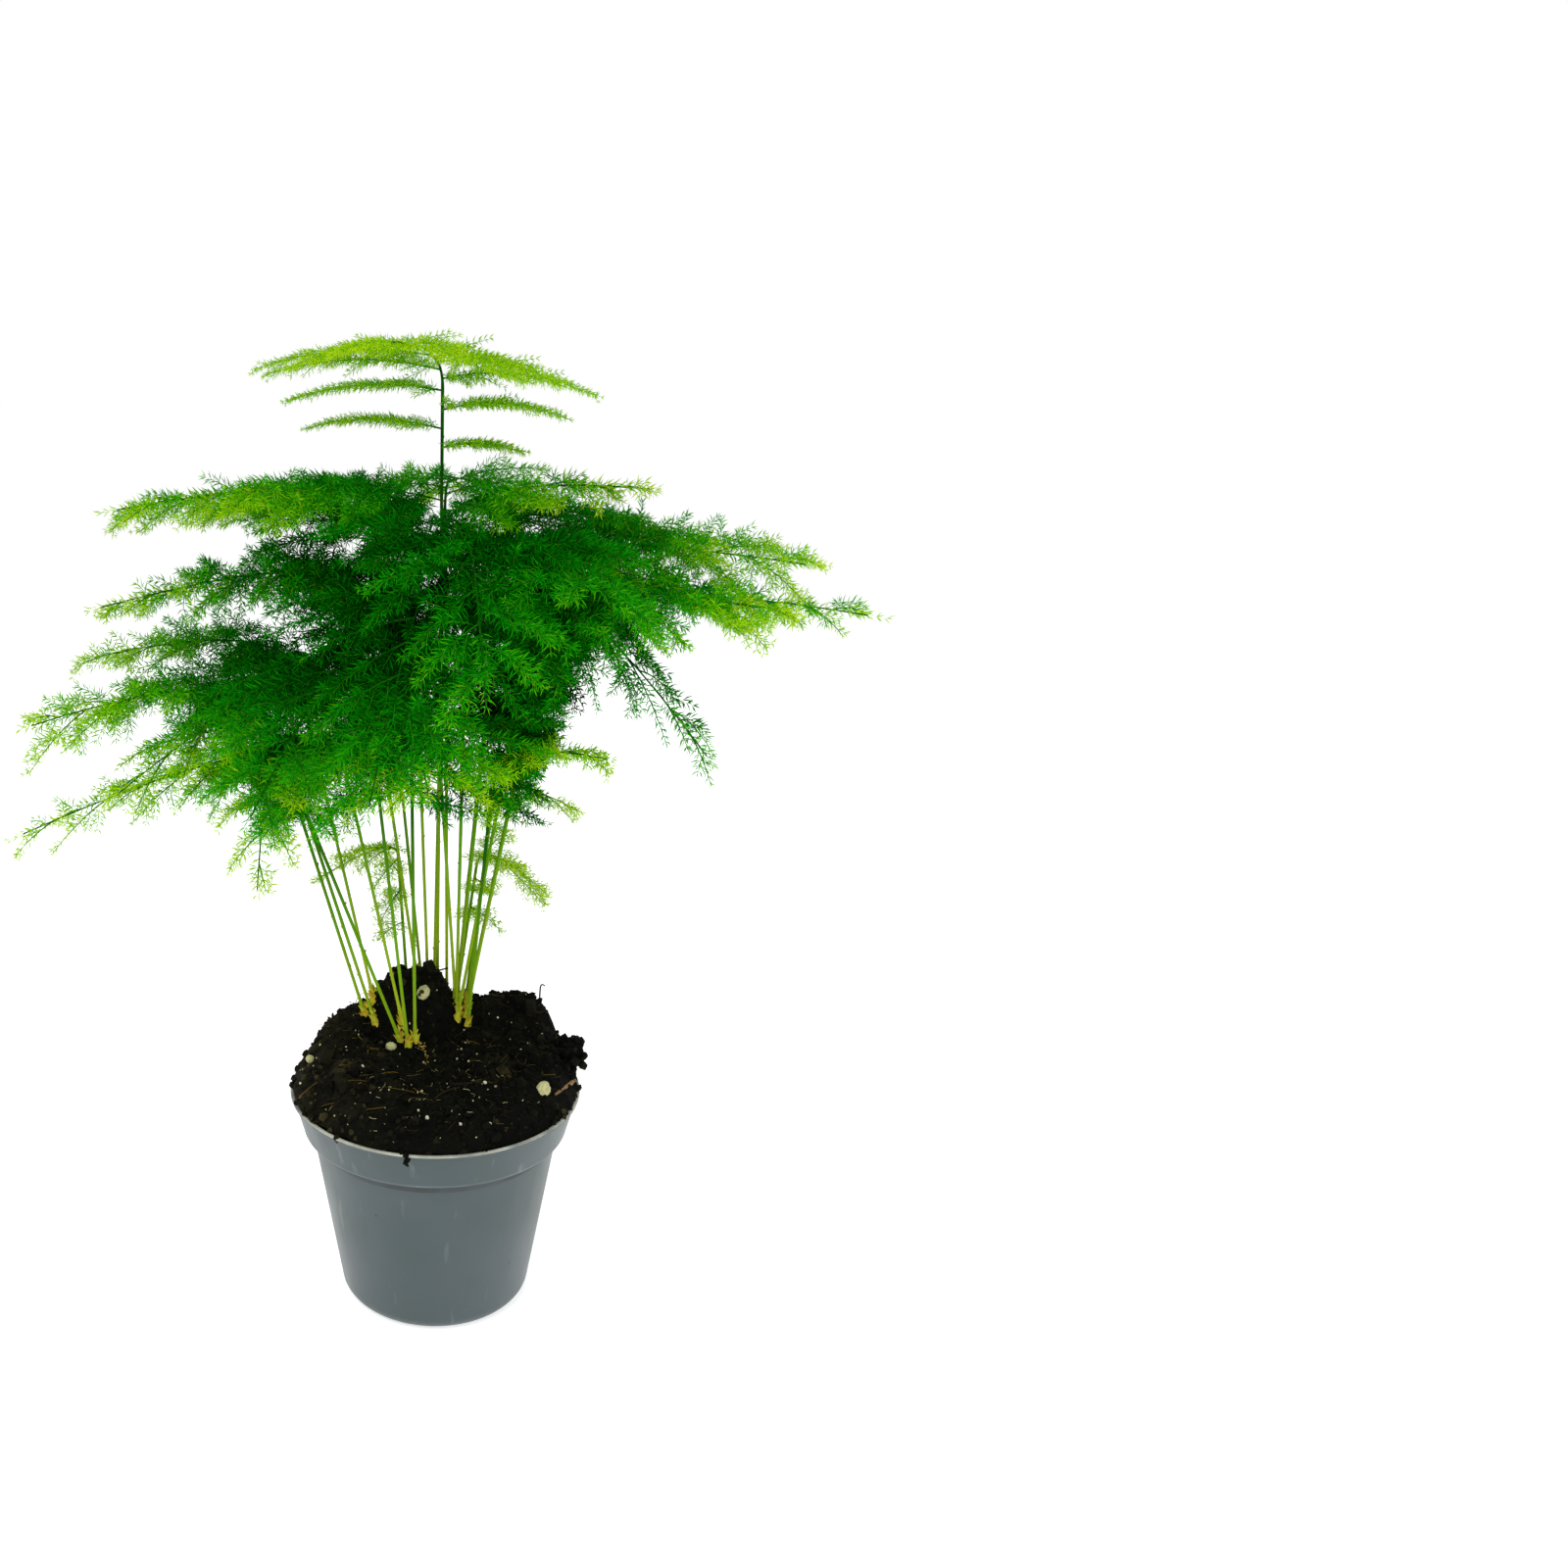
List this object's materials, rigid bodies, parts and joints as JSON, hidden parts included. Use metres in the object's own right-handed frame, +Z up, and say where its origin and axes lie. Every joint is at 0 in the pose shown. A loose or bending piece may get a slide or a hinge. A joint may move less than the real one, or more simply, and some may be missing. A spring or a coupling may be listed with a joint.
{
  "type": "potted lace fern",
  "caption": "Lace fern in a round nursery pot: wiry upright stems that arch over into flat, feathery fronds of fine needles, standing in domed dark soil.",
  "frame": {"origin": "centre of the pot's flat underside, on the surface it stands on", "axes": "+Z up along the pot's axis; -Y towards the viewer of the picture; +X to that viewer's right"},
  "size_m": [0.346, 0.2476, 0.3899],
  "materials": {
    "pot_plastic": "satin",
    "peat": "matte",
    "foliage_fresh": "satin",
    "foliage_young": "satin",
    "foliage_mid": "satin",
    "foliage_deep": "satin"
  },
  "bodies": {
    "root": {"pot": "pot_plastic", "soil": "peat", "stem_tall": "foliage_fresh", "stem_upper_left": "foliage_young", "stem_upper_right": "foliage_mid", "stem_right_large": "foliage_young", "stem_right_far": "foliage_mid", "stem_right_front": "foliage_young", "stem_left_thin": "foliage_mid", "stem_left_middle": "foliage_mid", "stem_left_curl": "foliage_mid", "stem_left_low": "foliage_mid", "stem_left_droop": "foliage_young", "stem_left_inner": "foliage_mid", "stem_right_back_low": "foliage_fresh", "stem_right_old": "foliage_deep", "stem_right_low": "foliage_mid", "stem_front_left": "foliage_deep", "stem_front": "foliage_deep", "stem_front_bright": "foliage_deep", "stem_front_right": "foliage_deep", "stem_back_left": "foliage_mid", "stem_back": "foliage_mid", "stem_back_right": "foliage_mid", "stem_young_right": "foliage_fresh", "stem_young_left": "foliage_fresh", "stem_front_low": "foliage_mid"}
  },
  "joints": []
}
